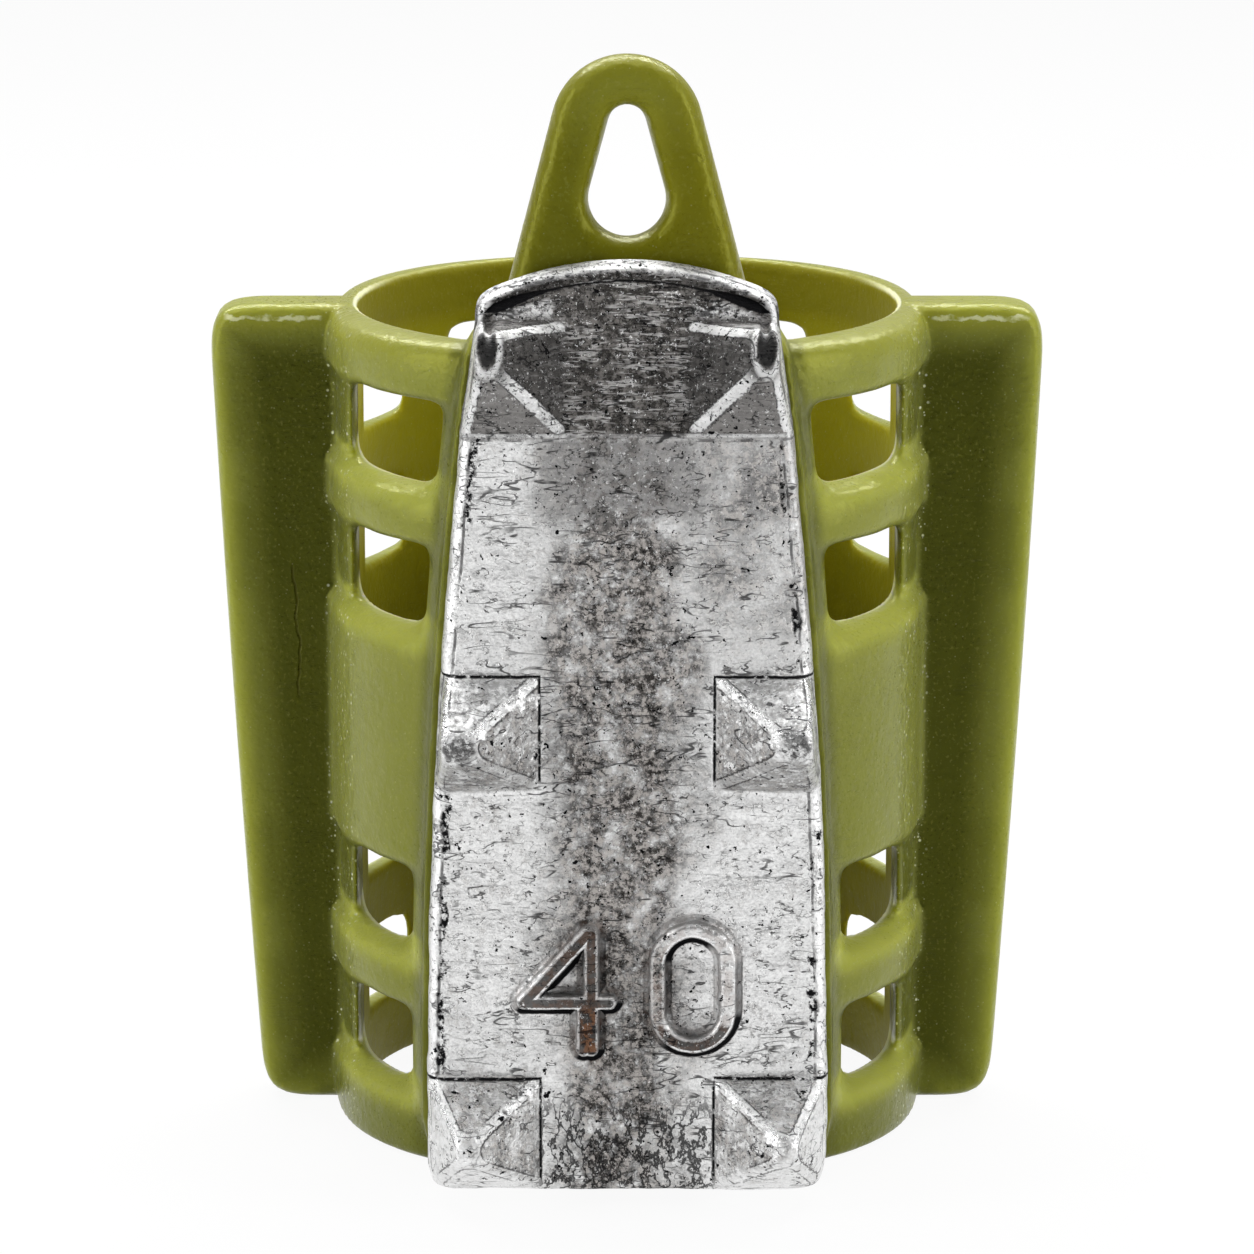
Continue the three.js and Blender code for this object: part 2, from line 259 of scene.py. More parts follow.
def skin(tree, inside, low, high, cell, marks):
    """The surface where the field is zero, in metres, with each mark stored on its points."""
    cube = {"Density": -inside, "Background": -1.0, "Min": low, "Max": high}
    for axis, start, end in zip("XYZ", low, high):
        cube[f"Resolution {axis}"] = round((end - start) / cell)
    volume = tree.node("GeometryNodeVolumeCube", inputs=cube)
    mesher = tree.node(
        "GeometryNodeVolumeToMesh",
        {"resolution_mode": "GRID"},
        {"Volume": volume.outputs[0], "Threshold": 0.0, "Adaptivity": 0.0},
    )
    geometry = mesher.outputs[0]
    for name, mark in marks.items():
        stored = tree.node(
            "GeometryNodeStoreNamedAttribute",
            {"data_type": "FLOAT", "domain": "POINT"},
            {"Geometry": geometry, "Name": name, "Value": mark},
        )
        geometry = stored.outputs[0]
    smooth = tree.node("GeometryNodeSetShadeSmooth", inputs={"Geometry": geometry})
    placed = tree.node(
        "GeometryNodeTransform",
        inputs={
            "Geometry": smooth.outputs[0],
            "Translation": (0, AXIS_Y / 1000, 0),
            "Scale": (0.001, 0.001, 0.001),
        },
    )
    return placed.outputs[0]


# %% Run a tree and keep a plain mesh
def plain_mesh(source, name):
    """A copy of source with its modifiers worked out, at the origin."""
    bpy.context.view_layer.update()
    graph = bpy.context.evaluated_depsgraph_get()
    mesh = bpy.data.meshes.new_from_object(
        source.evaluated_get(graph), preserve_all_data_layers=True, depsgraph=graph
    )
    mesh.name = name
    bpy.data.objects.remove(source)
    return add(name, mesh)


def grow(name, tree, sizes):
    start = add(name + "_start", bpy.data.meshes.new(name + "_start"))
    modifier = start.modifiers.new("form", "NODES")
    modifier.node_group = tree.nodes
    for item in tree.nodes.interface.items_tree:
        if item.in_out == "INPUT":
            modifier[item.identifier] = sizes[item.name]
    return plain_mesh(start, name)


def count_triangles(piece):
    return sum(len(face.vertices) - 2 for face in piece.data.polygons)


def thin_out(piece, most):
    """Merges faces where the surface is nearly flat, down to a number of triangles."""
    name = piece.name
    triangles = count_triangles(piece)
    if triangles > most:
        modifier = piece.modifiers.new("fewer faces", "DECIMATE")
        modifier.ratio = most / triangles
        piece.name = name + "_dense"
        piece = plain_mesh(piece, name)
    print(f"{name}: {triangles} triangles, kept {count_triangles(piece)}")
    return piece


# %% [markdown]
# ## Sizes of the moulding and the casting
#
# These are the driving dimensions, measured from the photograph. The forms read them as named inputs of
# their Geometry Nodes, and the finishes use the same numbers, so that a line of dirt follows its edge.

# %% Sizes of the cage, in millimetres
CAGE = {
    "Bore radius": 14.9,
    "Band radius": 16.5,
    "Band fullness": 2.35,
    "Post recess": 0.42,
    "Tube height": 45.65,
    "Rim rounding": 1.35,
    "Foot rounding": 0.5,
    "Rows middle": 23.01,
    "Row pair offset": 12.99,
    "Row half pitch": 3.95,
    "Window half height": 2.45,
    "Window to sole": 1.05,
    "Front window outer": 14.85,
    "Rear window middle": 6.15,
    "Rear window half": 4.15,
    "Side window middle": 14.05,
    "Side window half": 1.25,
    "Rear window lower by": 0.2,
    "Window corner": 0.85,
    "Wing foot reach": 20.55,
    "Wing flare": 0.056,
    "Wing bulge": 0.16,
    "Wing half thickness": 2.2,
    "Wing rounding": 0.95,
    "Pad front": -17.3,
    "Pad lip": 0.4,
    "Pad foot": 0.3,
    "Pad top": 48.6,
    "Eye middle": -13.4,
    "Eye half thickness": 1.6,
    "Eye top centre": 57.0,
    "Eye top radius": 4.1,
    "Eye rounding": 1.5,
    "Hole centre": 53.4,
    "Hole bottom radius": 2.03,
    "Hole top radius": 0.98,
    "Hole rounding": 1.35,
    "Rivet row": 22.0,
    "Rivet pitch": 14.0,
    "Rivet hole": 1.0,
    "Rivet seat": 2.15,
}

# %% Sizes of the sole, in millimetres
SOLE = {
    "Face": -20.85,
    "Back": -17.3,
    "Bottom": 0.6,
    "Top": 50.5,
    "Arch": 0.0285,
    "Crease height": 41.9,
    "Face crown": 0.3,
    "Edge rounding": 0.8,
    "Spike height": 3.7,
    "Spike half length": 3.05,
    "Spike rows middle": 15.03,
    "Spike rows offset": 11.02,
    "Spike inner edge": 4.62,
    "Spike tip inner": 8.1,
    "Spike tip outer": 8.95,
    "Spike ridge": 0.6,
    "Stroke half width": 0.42,
    "Stroke stand": 0.7,
}
LEAN = math.radians(26)  # how far the face leans back above the crease
BACK_LEAN = 0.2326  # run over rise of the back of the sole there, and of the pad

# %% [markdown]
# ## Shapes that forms and finishes share
#
# The sole is widest at the bottom and draws in along a gentle curve, and the pad follows it with a small
# lip. The number on its face is drawn from straight and round strokes. Both are functions of plain Nums,
# so Geometry Nodes use them for the form, and shaders for the dark and bright lines beside an edge.

# %% Half width of the sole
FLANK = {"start": 6.0, "length": 41.4, "half at foot": 10.68, "draws in": 2.68}


def sole_half(z):
    rise = smaller(larger((z - FLANK["start"]) / FLANK["length"], 0), 1)
    return FLANK["half at foot"] - rise * rise * FLANK["draws in"]


# %% Strokes of the number
FOUR = [
    ((-2.1, 15.2), (-5.5, 11.4)),
    ((-5.5, 11.4), (-0.95, 11.4)),
    ((-1.9, 15.2), (-1.9, 8.8)),
    ((-2.3, 11.0), (-2.3, 8.8)),
]
NOUGHT = {"x": 3.5, "z": 12.2, "radius": 1.88, "straight": 1.3}


def stroke(x, z, start, end):
    """Distance from a straight stroke, in the plane of the face."""
    run, rise = end[0] - start[0], end[1] - start[1]
    t = ((x - start[0]) * run + (z - start[1]) * rise) / (run * run + rise * rise)
    t = smaller(larger(t, 0), 1)
    return ((x - start[0] - t * run) ** 2 + (z - start[1] - t * rise) ** 2).root()


def number_shape(x, z):
    """Distance from the middle of the strokes of the number."""
    four = stroke(x, z, *FOUR[0])
    for ends in FOUR[1:]:
        four = smaller(four, stroke(x, z, *ends))
    tall = larger(abs(z - NOUGHT["z"]) - NOUGHT["straight"], 0)
    nought = abs(((x - NOUGHT["x"]) ** 2 + tall**2).root() - NOUGHT["radius"])
    return smaller(four, nought)


print(len(CAGE) + len(SOLE), "named sizes")

# %% [markdown]
# ## Finishes
#
# Each finish is a node tree. All patterns read Object coordinates, scaled so that one unit is a
# millimetre, so a scratch has its real width from every side. The marks stored on the skins, such as the
# ridges of the spikes, steer wear and colour.


# %% Start a material
def new_finish(name):
    """A material, its Tree, its Principled node and the place on the object in millimetres."""
    material = bpy.data.materials.new(name)
    material.use_nodes = True
    tree = Tree(material.node_tree)
    shader = material.node_tree.nodes["Principled BSDF"]
    coordinates = tree.node("ShaderNodeTexCoord").outputs["Object"]
    scaled = tree.node(
        "ShaderNodeVectorMath", {"operation": "SCALE"}, {0: coordinates, "Scale": 1000.0}
    )
    return material, tree, shader, scaled.outputs[0]


def mark(tree, name):
    """A number that the skin stores on its points."""
    found = tree.node("ShaderNodeAttribute", {"attribute_name": name})
    return Num(tree, found.outputs["Fac"])


def feed(tree, value, shader, name):
    """Links a Num or a socket to a named input."""
    socket = value.socket if isinstance(value, Num) else value
    tree.nodes.links.new(socket, shader.inputs[name])


def bump(tree, height, distance):
    """A Bump node: a height of 1 stands out by distance, in millimetres."""
    made = tree.node(
        "ShaderNodeBump", inputs={"Strength": 1.0, "Distance": distance / 1000, "Height": height}
    )
    return made.outputs[0]


# %% [markdown]
# ### Olive plastic
#
# The moulding is a soft, slightly translucent plastic. Light enters its thin edges and comes out again,
# so rims and roundings look lighter and yellower than the middle of a wing. Subsurface scattering gives
# part of that. The rest is light and shade painted into the colour through marks on the skin: painted
# shade deepens the middle of the wings, the eye, the posts and what lies under the bars, and painted light
# brightens the sills, the top, the edges of the wings and the eye, and makes the inside of the tube
# yellower. Each tone is a named colour, laid over the ones before it where its mask is 1. Reflections are
# tinted yellow, as the plastic swallows blue.

# %% Colours of the plastic
# Most of these tones are painted light and shade. Painted shade: post, foot, lintel, the eye's left, the
# wing's middle, beside the lead and reveal. Painted light: top, upper front, sill, the inside and its
# upper part, the eye's right, the eye's edges, the wing's edge and shine. Cloud, grain, dust and crack are
# the plastic's own colour.
OLIVE = {
    "dark cloud": (0.165, 0.177, 0.030),
    "light cloud": (0.215, 0.228, 0.048),
    "post": (0.085, 0.092, 0.008),
    "top": (0.31, 0.31, 0.030),
    "foot": (0.100, 0.110, 0.010),
    "upper front": (0.31, 0.325, 0.062),
    "lintel": (0.070, 0.074, 0.005),
    "sill": (0.42, 0.44, 0.085),
    "inside": (0.215, 0.188, 0.0012),
    "inside, upper": (0.36, 0.32, 0.0012),
    "eye, left": (0.105, 0.102, 0.003),
    "eye, right": (0.138, 0.128, 0.002),
    "eye's edges": (0.205, 0.198, 0.006),
    "wing's middle": (0.032, 0.037, 0.003),
    "wing's edge": (0.30, 0.32, 0.045),
    "grain": (0.40, 0.41, 0.13),
    "beside the lead": (0.065, 0.070, 0.008),
    "reveal": (0.020, 0.018, 0.001),
    "shine": (0.72, 0.73, 0.50),
    "dust": (0.62, 0.64, 0.44),
    "crack": (0.018, 0.014, 0.002),
}
print(len(OLIVE), "tones of olive")

# %% Where the parts of the moulding are
olive_plastic, tree, shader, place = new_finish("olive plastic")
x, y, z = tree.split(place)
y = y - AXIS_Y
side = abs(x)
from_axis = (x * x + y * y).root()
side_inset = CAGE["Wing foot reach"] + CAGE["Wing bulge"] + z * CAGE["Wing flare"] - side
below_top = CAGE["Tube height"] - z
wing_inset = smaller(side_inset, smaller(z, below_top))
off_tube = mark(tree, "off_tube")
# Painted shade in the middle of each wing, and painted light at its edges, where light comes through.
wing_middle = wing_inset.ramp(0.8, 3.3) * off_tube * side.ramp(15.0, 15.6) * abs(y).ramp(1.7, 2.1)
wing_edge = wing_inset.ramp(1.5, 0.3) * off_tube * side.ramp(17.0, 18.0)
front = (-y).ramp(0.0, 2.0)
# Painted light on the upper front of the tube.
upper_front = z.ramp(24.0, 31.0) * (-y).ramp(3.0, 8.0)
# Painted shade on the pad's lip beside the lead.
by_lead = (side - sole_half(z)).ramp(1.5, 0.7) * (-y).ramp(12.0, 14.0) * z.ramp(46.5, 45.0)
# Painted light through the back wall: the inside is yellower, and lighter near the upper windows.
inner_wall = from_axis.ramp(15.3, 14.95) * z.ramp(46.0, 45.2)
upper_windows = z.ramp(43.5, 42.0) * z.ramp(26.0, 33.0)
# Painted light and shade on the eye: darker in the middle, lighter towards its top.
eye_face = z.ramp(46.6, 48.0) * (1 - z.ramp(55.0, 61.0) * 0.6)
tell(tree, "places on the moulding")

# %% Tones of the parts
cloud = tree.noise(place, 0.12, 3.0)
grain = tree.noise(place, 5.0, 2.0)
# painted light on the inside, lighter at the upper windows
inside = tree.blend(upper_windows * 0.7, OLIVE["inside"], OLIVE["inside, upper"])
# painted shade on the eye's left, and painted light on its right
eye = tree.blend(x.ramp(-3.0, 3.0), OLIVE["eye, left"], OLIVE["eye, right"])
# Painted shade on the side faces of the front windows.
reveal = mark(tree, "reveal") * from_axis.ramp(15.5, 15.15)
colour = tree.blend(cloud, OLIVE["dark cloud"], OLIVE["light cloud"])
for mask, tone in (
    # painted shade on the recessed posts
    (mark(tree, "post") * 0.8, OLIVE["post"]),
    # painted highlight on the rounded top, and painted shade towards the foot
    (z.ramp(43.6, 45.3) * 0.55, OLIVE["top"]),
    (z.ramp(5.0, 1.0) * 0.55, OLIVE["foot"]),
    # painted light on the upper front
    (upper_front * 0.3, OLIVE["upper front"]),
    # painted shade under the bars, along the top of each window
    (mark(tree, "lintel") * 0.75, OLIVE["lintel"]),
    # painted light on the sills, which face up
    (mark(tree, "sill") * 0.85, OLIVE["sill"]),
    # painted light on the inside of the tube
    (inner_wall * 0.92, inside),
    # painted light and shade on the eye
    (eye_face * 0.9, eye),
    # painted shade in the middle of the wings
    (wing_middle * 0.95, OLIVE["wing's middle"]),
    (grain.ramp(0.56, 0.72) * 0.15, OLIVE["grain"]),
    # painted shade beside the lead
    (by_lead * 0.75, OLIVE["beside the lead"]),
    # painted light on the eye's edges
    (mark(tree, "eye_edge") * 0.45, OLIVE["eye's edges"]),
    # painted light at the wings' edges
    (wing_edge * 0.6, OLIVE["wing's edge"]),
    # painted shade in the windows' side faces
    (reveal * 0.85, OLIVE["reveal"]),
):
    colour = tree.blend(mask, colour, tone)
tell(tree, "tones")

# %% [markdown]
# ### Painted highlights, dust and relief of the plastic
#
# Painted highlights, thin light lines, follow the inner rim, the sills and the fillet under the top of
# each wing. Pale dust sits where the bands meet the wings, and the left wing has a hairline crack.

# %% Painted highlights
ragged = tree.noise(tree.join(x * 0.6, 0.0, z), 2.2, 3.0, 0.6) - 0.5
# Painted highlights: thin light lines on the inner rim, under each wing's top and on the front sills.
inner_rim = abs(from_axis - 15.02).ramp(0.20, 0.08) * z.ramp(45.3, 45.5) * z.ramp(46.0, 45.8)
inner_rim = inner_rim * y.ramp(8.0, 2.0)
fillet = abs(below_top - 0.72 + ragged * 0.7).ramp(0.17, 0.06) * abs(y).ramp(1.2, 1.6)
fillet = fillet * side.ramp(16.7, 17.0) * side_inset.ramp(0.9, 1.3)
fillet = fillet * tree.noise(place, 1.2, 3.0).ramp(0.30, 0.52)
sill_line = mark(tree, "sill") * from_axis.ramp(15.45, 15.2) * from_axis.ramp(14.9, 15.05) * front
shine = larger(inner_rim, fillet * 0.7, sill_line * 0.8)
colour = tree.blend(shine, colour, OLIVE["shine"])
tell(tree, "light lines")


# %% Dust and a crack
def specks(scale, size):
    """1 inside small dots that are spread at random, size in millimetres."""
    dots = tree.node(
        "ShaderNodeTexVoronoi", {"feature": "F1"}, {"Vector": place, "Scale": scale, "Randomness": 1.0}
    )
    return Num(tree, dots.outputs["Distance"]).ramp(size * scale, size * scale * 0.4)


band_ends = abs(side - 15.8).ramp(1.2, 0.5) * (-y).ramp(0.0, 1.5)
on_bands = larger(specks(1.9, 0.11), specks(3.1, 0.065) * 0.8) * band_ends * 0.95
colour = tree.blend(larger(specks(2.0, 0.06) * 0.2, on_bands), colour, OLIVE["dust"])
CRACK = {"x": -18.3, "z": 27.0, "slope": 0.06}
bend = tree.noise(tree.join(0.0, 0.0, z), 0.35, 2.0) - 0.5
crack = abs(x - CRACK["x"] + (z - CRACK["z"]) * CRACK["slope"] + bend * 1.6).ramp(0.10, 0.03)
crack = crack * abs(z - 27.3).ramp(4.0, 3.4) * (-y).ramp(1.0, 1.8) * (0.5 + cloud)
colour = tree.blend(crack * 0.75, colour, OLIVE["crack"])
feed(tree, colour, shader, "Base Color")
tell(tree, "dust and crack")

# %% Gloss and relief of the plastic
hair = tree.noise(tree.join(x * 0.25, y * 0.6, z * 2.4), 1.6, 2.0)
hair = abs(hair - 0.5).ramp(0.012, 0.004) * tree.noise(place, 0.4, 1.0).ramp(0.56, 0.62)
feed(tree, 0.20 + grain * 0.14 + cloud * 0.06 + inner_wall * 0.25, shader, "Roughness")
relief = tree.noise(place, 0.7, 3.0) * 0.09 + tree.noise(place, 2.0, 2.0) * 0.06 + grain * 0.012
relief = relief + hair * 0.015 + fillet * ragged * 0.1 - crack * 0.04
feed(tree, bump(tree, relief, 1.0), shader, "Normal")
shader.inputs["IOR"].default_value = 1.5
shader.inputs["Specular IOR Level"].default_value = 0.42
shader.inputs["Specular Tint"].default_value = (0.90, 0.92, 0.14, 1)
shader.inputs["Subsurface Weight"].default_value = 0.55
shader.inputs["Subsurface Radius"].default_value = (1.0, 0.9, 0.10)
shader.inputs["Subsurface Scale"].default_value = 0.0012
tell(tree, "olive plastic")

# %% [markdown]
# ### Cast lead
#
# Fresh lead is bright, and it dulls to dark grey where it is handled and oxidises. The flanks are still
# silvery, a darker band runs down the middle and a patch below the crease is grey. The leaning top is
# darkest, a painted dark reflection, and the inner and lower faces of the spikes get painted shade. Short
# dark folds from the pour run across and pits are black. Painted shade sits in every inner corner, and
# ridges are rubbed bright and carry painted highlights. A fold is where a noise crosses a level, so it
# comes out as a thin broken line.

# %% Colours of the lead
# Among these, the leaning top is a painted dark reflection, the spike's inner face painted shade and its
# lower face painted light. The bright tone of the rubbed ridges also serves painted highlights, and the
# darkest tone serves real dirt and painted shade. The other tones are the lead's own colour.
LEAD = {
    "dull silver": (0.74, 0.74, 0.74),
    "bright silver": (0.97, 0.97, 0.965),
    "worn spike": (0.26, 0.26, 0.26),
    "dark patina": (0.045, 0.041, 0.038),
    "light patina": (0.52, 0.49, 0.465),
    "leaning top": (0.048, 0.046, 0.043),
    "streak": (0.62, 0.61, 0.60),
    "below the crease": (0.19, 0.185, 0.18),
    "spike, inner face": (0.085, 0.082, 0.080),
    "spike, lower face": (0.36, 0.35, 0.34),
    "soot": (0.05, 0.046, 0.043),
    "rust": (0.22, 0.105, 0.055),
    "tip": (0.07, 0.07, 0.07),
    "top tip": (0.025, 0.025, 0.025),
    "fleck": (0.93, 0.93, 0.93),
    "rubbed_and_highlit": (0.92, 0.92, 0.92),
    "dirt and shade": (0.012, 0.012, 0.013),
}
print(len(LEAD), "tones of lead")

# %% Where the parts of the casting are
cast_lead, tree, shader, place = new_finish("cast lead")
x, y, z = tree.split(place)
y = y - AXIS_Y
side = abs(x)
inset = sole_half(z) - side
under_arch = SOLE["Top"] - side * side * SOLE["Arch"] - z
above_crease = z - SOLE["Crease height"]
leaning = z.ramp(41.6, 42.1)
upright = 1 - leaning
row = abs(z - SOLE["Spike rows middle"]) - SOLE["Spike rows offset"]
base = larger(SOLE["Spike inner edge"] - side, abs(row) - SOLE["Spike half length"])
base_up = row * (z - SOLE["Spike rows middle"]).sign()
# Painted light on the face below the ridge of each top spike.
under_ridge = ((side - 3.2) * 1.05 - above_crease).ramp(0.0, 0.4) * leaning
near_spikes = side.ramp(2.6, 3.8)
beside = side.ramp(2.9, 3.4)
ridge = mark(tree, "ridge")
tip = mark(tree, "tip")
dull_face = mark(tree, "dull_face")
wobble = tree.noise(place, 0.20, 4.0, 0.65)
blotch = tree.noise(place, 0.60, 5.0, 0.68)
fine = tree.noise(place, 2.6, 5.0, 0.68)
grit = tree.noise(place, 7.0, 3.0, 0.7)
tell(tree, "places on the casting")

# %% Where the lead is dull, and where painted shade darkens it
middle = abs(x + 0.3 + (wobble - 0.5) * 9.0).ramp(5.2, 1.6)
spread = abs(x + 0.3) + (wobble - 0.5) * 5.0 + (blotch - 0.5) * 5.0
below_crease = (z + (blotch - 0.5) * 4.0).ramp(35.8, 38.4) * spread.ramp(5.8, 3.2) * upright
right_flank = x.ramp(2.0, 5.0) * z.ramp(27.0, 36.0)
dull_and_shaded = larger(
    middle * (blotch * 0.8 + fine * 0.45).ramp(0.44, 0.66),
    # painted dark reflection on the leaning top
    leaning * (fine * 0.7 + 0.72),
    below_crease * (0.62 + fine * 0.3),
    # painted shade on the inner and lower faces of the spikes
    dull_face * (blotch + fine * 0.5).ramp(0.56, 0.92) * 0.8,
    (blotch * 0.6 + fine * 0.5).ramp(0.56, 0.70) * 0.4,
    right_flank * (wobble * 0.8 + fine * 0.4).ramp(0.40, 0.68) * 0.8,
)
tell(tree, "dull places")

# %% Silver and patina
streaks = tree.noise(tree.join(x * 0.22, y * 0.3, z * 1.6), 1.5, 3.0, 0.6)
streaks = abs(streaks - 0.5).ramp(0.045, 0.012) * tree.noise(place, 0.7, 2.0).ramp(0.40, 0.52)
# Painted shade on the inner faces of the top spikes.
inner_face = dull_face * leaning * side.ramp(3.1, 3.4) * (1 - under_ridge)
patina = tree.blend(fine.ramp(0.43, 0.60), LEAD["dark patina"], LEAD["light patina"])
for mask, tone in (
    # painted dark reflection on the leaning top
    (leaning * (0.66 + near_spikes * 0.1), "leaning top"),
    (leaning * streaks * (0.7 - near_spikes * 0.35), "streak"),
    (below_crease * 0.7, "below the crease"),
    # painted shade on the spikes' inner faces, and painted light on the faces below their ridges
    (inner_face * (blotch * 0.6 + 0.25), "spike, inner face"),
    (under_ridge * (blotch * 0.6 + 0.4), "spike, lower face"),
):
    patina = tree.blend(mask, patina, LEAD[tone])
worn = base.ramp(0.0, -0.3) * (fine * 0.7 + grit * 0.3).ramp(0.40, 0.54)
silver = tree.blend(grit.ramp(0.30, 0.65), LEAD["dull silver"], LEAD["bright silver"])
silver = tree.blend(worn * (0.1 + z.ramp(8.0, 20.0) * 0.5), silver, LEAD["worn spike"])
colour = tree.blend(dull_and_shaded, silver, patina)
tell(tree, "silver and patina")


# %% Folds and pits
def folds(scale, stretch, level, width, patches):
    """Thin broken lines, longer across than up, where a noise crosses a level."""
    across = tree.noise(tree.join(x / stretch, y, z * stretch), scale, 3.0, 0.55)
    broken = tree.noise(place, patches, 2.0).ramp(0.50, 0.60)
    return abs(across - level).ramp(width, width * 0.3) * broken


fold = larger(
    folds(0.30, 1.9, 0.5, 0.013, 0.55),
    folds(0.75, 1.5, 0.46, 0.017, 0.9),
    folds(1.5, 1.2, 0.54, 0.024, 1.3) * 0.6,
    folds(0.22, 2.6, 0.48, 0.007, 0.35),
)
large_pits = tree.noise(place, 1.5, 3.0, 0.7).ramp(0.655, 0.68)
small_pits = tree.noise(place, 3.6, 2.0, 0.6).ramp(0.68, 0.71)
dull_pits = tree.noise(place, 4.2, 4.0, 0.7).ramp(0.585, 0.625) * dull_and_shaded * 0.8
dark = larger(fold * 0.8, large_pits, small_pits, dull_pits)
tell(tree, "folds and pits")

# %% [markdown]
# ### Corners, number and wear of the lead, with painted light and shade
#
# Painted shade darkens the foot of each spike, a line and patches just inside the sole's edge, a wedge
# under the arch and the crease. The lowest stretch is scuffed dark. The number has a painted shadow
# outside its strokes and a painted highlight on their edges, with soot and a little rust. Tips of spikes
# are dark, bright flecks catch the light, and ridges are rubbed bright and carry painted highlights.

# %% Painted shade in its corners
# Painted shade: a dark line along the foot of each spike, a line and patches just inside the sole's edge,
# a wedge under the arch and a line along the crease. The scuff near the foot is real wear.
base_line = abs(base + (fine - 0.5) * 0.14).ramp(0.10, 0.04) * (1 - base_up.ramp(-2.5, -2.8) * 0.8)
base_line = base_line * (fine * 0.6 + blotch * 0.4).ramp(0.40, 0.47) * upright
groove = abs(inset - 0.62 + (wobble - 0.5) * 0.5).ramp(0.11, 0.04) * blotch.ramp(0.40, 0.55) * 0.75
patch = abs(inset - 0.75 + (blotch - 0.5) * 0.9).ramp(0.30, 0.14)
patch = patch * (fine * 0.5 + wobble * 0.5).ramp(0.51, 0.56)
groove = larger(groove, patch) * base.ramp(0.0, 0.3) * upright
thick = side.ramp(7.7, 7.3) * 0.07 + side.ramp(3.6, 6.4) * side.ramp(7.6, 6.8) * 0.21
wedge = (abs(under_arch - 0.95 + (fine - 0.5) * 0.2) - thick).ramp(0.02, -0.06)
crease = abs(above_crease + 0.12).ramp(0.10, 0.04) * blotch.ramp(0.46, 0.54) * beside * 0.6
scuff = abs(tree.noise(tree.join(x, y, z * 0.6), 1.3, 4.0, 0.6) - 0.52).ramp(0.04, 0.02)
scuff = scuff * z.ramp(7.0, 4.5) * side.ramp(5.4, 4.2) * 0.85
# painted shade along the seams between the spikes and the plate
seam = mark(tree, "seam") * leaning * fine.ramp(0.45, 0.60) * 0.5
# dark holds real folds, pits and scuffs together with painted shade
dark = larger(dark, groove, wedge, base_line, crease, scuff, seam)
tell(tree, "dirt and shade")

# %% Edges of its number: painted shadow and painted highlight
number = number_shape(x, z)
lower_edge = (number - number_shape(x - 0.06, z + 0.14)).ramp(0.02, 0.11)
edge = number - SOLE["Stroke half width"] + (fine - 0.5) * 0.10
on_face = z.ramp(7.2, 7.6) * z.ramp(17.2, 16.8)
# Painted shadow: a dark line just outside each stroke, strongest under its lower edges.
number_shadow = abs(edge - 0.14).ramp(0.24, 0.14) * (lower_edge * 0.85 + 0.35) * on_face
# Painted highlight along the edges of the strokes, strongest on the lower ones.
glint = abs(edge + 0.09).ramp(0.14, 0.07) * larger(lower_edge * 1.3, 0.45) * on_face
glint = glint * fine.ramp(0.36, 0.44)
rust = abs(x + 1.9).ramp(0.75, 0.35) * z.ramp(11.8, 10.6) * z.ramp(8.3, 8.8)
rust = larger(rust, number.ramp(1.1, 0.4) * on_face * 0.3) * tree.noise(place, 1.6, 3.0).ramp(0.42, 0.54)
sooty = larger(x.ramp(1.0, -1.0) * 0.34, z.ramp(11.0, 9.6) * 0.3)
soot = edge.ramp(-0.08, -0.2) * on_face * (blotch * 0.6 + fine * 0.2 + sooty).ramp(0.50, 0.60)
colour = tree.blend(soot * 0.9, colour, LEAD["soot"])
colour = tree.blend(rust * 0.8, colour, LEAD["rust"])
dark = larger(dark, number_shadow)
tell(tree, "edges of its number")

# %% Tips of the spikes and bright flecks
dark_tip = tip * z.ramp(14.0, 16.0) * upright * fine.ramp(0.36, 0.56)
colour = tree.blend(dark_tip * 0.85, colour, LEAD["tip"])
TOP_TIP = {"side": 7.25, "z": 46.9}
oval = (((side - TOP_TIP["side"]) * 1.9) ** 2 + ((z - TOP_TIP["z"]) * 0.95) ** 2).root()
oval = oval + (fine - 0.5) * 0.5
colour = tree.blend(oval.ramp(1.05, 0.75) * tip.ramp(0.3, 0.6) * 0.9, colour, LEAD["top tip"])
ring = oval.ramp(0.95, 1.15) * oval.ramp(1.75, 1.35) * tip.ramp(0.02, 0.2) * fine.ramp(0.34, 0.46)
fleck = larger(
    tree.noise(place, 2.1, 3.0, 0.75).ramp(0.63, 0.67),
    tree.noise(place, 4.6, 3.0, 0.75).ramp(0.62, 0.66) * dull_and_shaded,
    tree.noise(place, 1.4, 4.0, 0.7).ramp(0.545, 0.59) * base.ramp(0.0, -0.3) * upright,
)
colour = tree.blend(fleck * oval.ramp(0.9, 1.3) * 0.8, colour, LEAD["fleck"])
tell(tree, "tips and flecks")

# %% Rubbed edges and painted highlights
# Painted shadow beside the ridges.
beside_ridge = ridge.ramp(0.03, 0.2) * ridge.ramp(0.55, 0.35) * blotch.ramp(0.42, 0.55)
beside_ridge = beside_ridge * larger(base.ramp(0.1, -0.1), leaning)
dark = larger(dark, beside_ridge * 0.7)
low_ridge = base_up.ramp(-0.4, -0.9) * upright
# Ridges are rubbed bright and carry a painted highlight.
on_ridge = ridge.ramp(0.3 - leaning * 0.18, 0.7 - leaning * 0.3) * fine.ramp(0.20, 0.38)
on_ridge = on_ridge * (1 - tip) * (1 - low_ridge * 0.65)
top_patch = under_arch.ramp(1.2, 1.5) * z.ramp(47.5, 48.1) * side.ramp(3.2, 4.2)
top_patch = top_patch * blotch.ramp(0.42, 0.50) * fine.ramp(0.38, 0.5)
